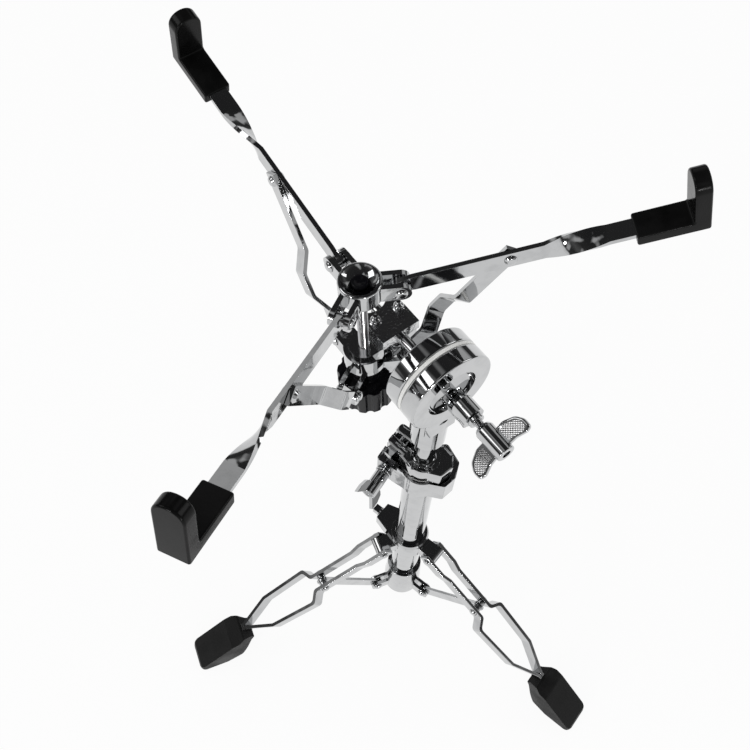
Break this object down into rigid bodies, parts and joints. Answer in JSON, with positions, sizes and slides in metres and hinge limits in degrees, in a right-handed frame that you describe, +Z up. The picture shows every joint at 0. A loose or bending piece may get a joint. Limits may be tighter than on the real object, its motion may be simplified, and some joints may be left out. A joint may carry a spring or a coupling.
{
  "type": "snare drum stand",
  "caption": "Folding chromed tripod stand with a tilting three-arm basket that clamps a snare drum between L-shaped black grips.",
  "frame": {"origin": "on the axis of the stand's tube, at floor level under its three feet", "axes": "+Z up along the tube, -Y towards the viewer of the picture, +X to the viewer's right; one leg points to +Y"},
  "size_m": [0.3903, 0.3806, 0.5569],
  "materials": {
    "chrome": "mirror chrome plate",
    "foot_rubber": "satin black rubber",
    "grip_black": "glossy black moulded grip",
    "black_plastic": "satin black plastic",
    "nylon_white": "natural white nylon"
  },
  "bodies": {
    "stand": {"lower_tube": "chrome", "tube_end_cap": "black_plastic", "brace_collar": "chrome", "brace_collar_rivets": "chrome", "height_clamp": "chrome", "clamp_screw": "chrome", "clamp_washer": "chrome"},
    "clamp_nut": {"clamp_wing_nut": "chrome"},
    "leg_slider": {"leg_collar": "chrome", "leg_pivot_bolts": "chrome"},
    "leg_lock": {"leg_lock_screw": "chrome"},
    "left_leg": {"left_leg_strap_a": "chrome", "left_leg_strap_b": "chrome", "left_leg_brace_rivet": "chrome", "left_foot": "foot_rubber"},
    "left_link": {"left_brace": "chrome"},
    "right_leg": {"right_leg_strap_a": "chrome", "right_leg_strap_b": "chrome", "right_leg_brace_rivet": "chrome", "right_foot": "foot_rubber"},
    "right_link": {"right_brace": "chrome"},
    "rear_leg": {"rear_leg_strap_a": "chrome", "rear_leg_strap_b": "chrome", "rear_leg_brace_rivet": "chrome", "rear_foot": "foot_rubber"},
    "rear_link": {"rear_brace": "chrome"},
    "guide": {"tube_bushing": "nylon_white"},
    "column": {"upper_tube": "chrome", "memory_lock": "chrome", "memory_lock_bolt": "chrome", "tilter_front_half": "chrome", "tilter_friction_ring": "nylon_white", "tilter_bolt": "chrome", "tilter_washer": "chrome"},
    "tilter_nut": {"tilter_wing_nut": "chrome"},
    "tilter_back": {"tilter_rear_half": "chrome", "offset_rod": "chrome"},
    "bracket": {"bracket_casting": "chrome", "bracket_plate": "chrome", "bracket_bolts": "chrome", "strut_collar": "chrome", "strut_collar_rivets": "chrome", "knob_washer": "chrome"},
    "hub": {"basket_hub": "chrome", "hub_rivets": "chrome", "basket_screw": "chrome", "hub_cap": "black_plastic"},
    "knob": {"basket_knob": "black_plastic"},
    "rear_cradle_arm": {"rear_arm": "chrome", "rear_grip": "grip_black", "rear_arm_rivet": "chrome"},
    "rear_stay": {"rear_strut": "chrome"},
    "right_cradle_arm": {"right_arm": "chrome", "right_grip": "grip_black", "right_arm_rivet": "chrome"},
    "right_stay": {"right_strut": "chrome"},
    "front_cradle_arm": {"front_arm": "chrome", "front_grip": "grip_black", "front_arm_rivet": "chrome"},
    "front_stay": {"front_strut": "chrome"}
  },
  "joints": [
    {"name": "leg_collar_slide", "type": "slide", "parent": "stand", "child": "leg_slider", "axis": [0, 0, 1], "range_m": [0, 0.044]},
    {"name": "left_leg_fold", "type": "hinge", "parent": "leg_slider", "child": "left_leg", "pos_m": [-0.0239, -0.0138, 0.1359], "axis": [0.5, -0.866, 0], "range_deg": [0, 39.72]},
    {"name": "left_link_fold", "type": "hinge", "parent": "stand", "child": "left_link", "pos_m": [-0.02338, -0.0135, 0.03], "axis": [-0.5, 0.866, 0], "range_deg": [0, 28.11]},
    {"name": "right_leg_fold", "type": "hinge", "parent": "leg_slider", "child": "right_leg", "pos_m": [0.0239, -0.0138, 0.1359], "axis": [0.5, 0.866, 0], "range_deg": [0, 39.72]},
    {"name": "right_link_fold", "type": "hinge", "parent": "stand", "child": "right_link", "pos_m": [0.02338, -0.0135, 0.03], "axis": [-0.5, -0.866, 0], "range_deg": [0, 28.11]},
    {"name": "rear_leg_fold", "type": "hinge", "parent": "leg_slider", "child": "rear_leg", "pos_m": [0, 0.0276, 0.1359], "axis": [-1, 0, 0], "range_deg": [0, 39.72]},
    {"name": "rear_link_fold", "type": "hinge", "parent": "stand", "child": "rear_link", "pos_m": [0, 0.027, 0.03], "axis": [1, 0, 0], "range_deg": [0, 28.11]},
    {"name": "leg_lock_turn", "type": "hinge", "parent": "leg_slider", "child": "leg_lock", "pos_m": [0, 0, 0.1399], "axis": [-0.866, 0.5, 0], "continuous": true},
    {"name": "clamp_nut_turn", "type": "hinge", "parent": "stand", "child": "clamp_nut", "pos_m": [-0.02229, 0.00992, 0.271], "axis": [-0.4067, -0.9135, 0], "continuous": true},
    {"name": "column_swivel", "type": "hinge", "parent": "stand", "child": "guide", "pos_m": [0, 0, 0.3], "axis": [0, 0, 1], "continuous": true},
    {"name": "height_slide", "type": "slide", "parent": "guide", "child": "column", "axis": [0, 0, 1], "range_m": [0, 0.11]},
    {"name": "tilter_nut_turn", "type": "hinge", "parent": "column", "child": "tilter_nut", "pos_m": [0.00028, 0.00481, 0.409], "axis": [0.7067, -0.7067, 0.0349], "continuous": true},
    {"name": "basket_tilt", "type": "hinge", "parent": "column", "child": "tilter_back", "pos_m": [0.00028, 0.00481, 0.409], "axis": [0.7067, -0.7067, 0.0349], "range_deg": [-45, 45]},
    {"name": "bracket_slide", "type": "slide", "parent": "tilter_back", "child": "bracket", "axis": [0.7067, -0.7067, 0.0349], "range_m": [-0.012, 0.006]},
    {"name": "knob_turn", "type": "hinge", "parent": "bracket", "child": "knob", "pos_m": [-0.04783, 0.02441, 0.35896], "axis": [-0.0592, -0.0099, 0.9982], "range_deg": [-961, 2401]},
    {"name": "hub_slide", "type": "slide", "parent": "bracket", "child": "hub", "axis": [0.0592, 0.0099, -0.9982], "range_m": [-0.004, 0.01]},
    {"name": "rear_arm_lift", "type": "hinge", "parent": "hub", "child": "rear_cradle_arm", "pos_m": [-0.07069, 0.04088, 0.46796], "axis": [0.7185, 0.6938, 0.0495], "range_deg": [-4.67, 11.53]},
    {"name": "rear_stay_lift", "type": "hinge", "parent": "bracket", "child": "rear_stay", "pos_m": [-0.06733, 0.04288, 0.38303], "axis": [0.7185, 0.6938, 0.0495], "range_deg": [-1.04, 2.44]},
    {"name": "right_arm_lift", "type": "hinge", "parent": "hub", "child": "right_cradle_arm", "pos_m": [-0.031, 0.02871, 0.47019], "axis": [0.2409, -0.9705, 0.0047], "range_deg": [-4.67, 11.53]},
    {"name": "right_stay_lift", "type": "hinge", "parent": "bracket", "child": "right_stay", "pos_m": [-0.02413, 0.03042, 0.38547], "axis": [0.2409, -0.9705, 0.0047], "range_deg": [-1.04, 2.44]},
    {"name": "front_arm_lift", "type": "hinge", "parent": "hub", "child": "front_cradle_arm", "pos_m": [-0.06134, 0.00037, 0.46812], "axis": [-0.9594, 0.2768, -0.0541], "range_deg": [-4.67, 11.53]},
    {"name": "front_stay_lift", "type": "hinge", "parent": "bracket", "child": "front_stay", "pos_m": [-0.05648, -0.00082, 0.38324], "axis": [-0.9594, 0.2768, -0.0541], "range_deg": [-1.04, 2.44]}
  ],
  "couplings": [
    {"joint": "left_leg_fold", "follows": "leg_collar_slide", "rad_per_m": 15.736},
    {"joint": "left_link_fold", "follows": "leg_collar_slide", "rad_per_m": 11.128},
    {"joint": "right_leg_fold", "follows": "leg_collar_slide", "rad_per_m": 15.736},
    {"joint": "right_link_fold", "follows": "leg_collar_slide", "rad_per_m": 11.128},
    {"joint": "rear_leg_fold", "follows": "leg_collar_slide", "rad_per_m": 15.736},
    {"joint": "rear_link_fold", "follows": "leg_collar_slide", "rad_per_m": 11.128},
    {"joint": "knob_turn", "follows": "hub_slide", "rad_per_m": 4188.8},
    {"joint": "rear_arm_lift", "follows": "hub_slide", "rad_per_m": 19.955},
    {"joint": "rear_stay_lift", "follows": "hub_slide", "rad_per_m": 4.0887},
    {"joint": "right_arm_lift", "follows": "hub_slide", "rad_per_m": 19.955},
    {"joint": "right_stay_lift", "follows": "hub_slide", "rad_per_m": 4.0887},
    {"joint": "front_arm_lift", "follows": "hub_slide", "rad_per_m": 19.955},
    {"joint": "front_stay_lift", "follows": "hub_slide", "rad_per_m": 4.0887}
  ]
}
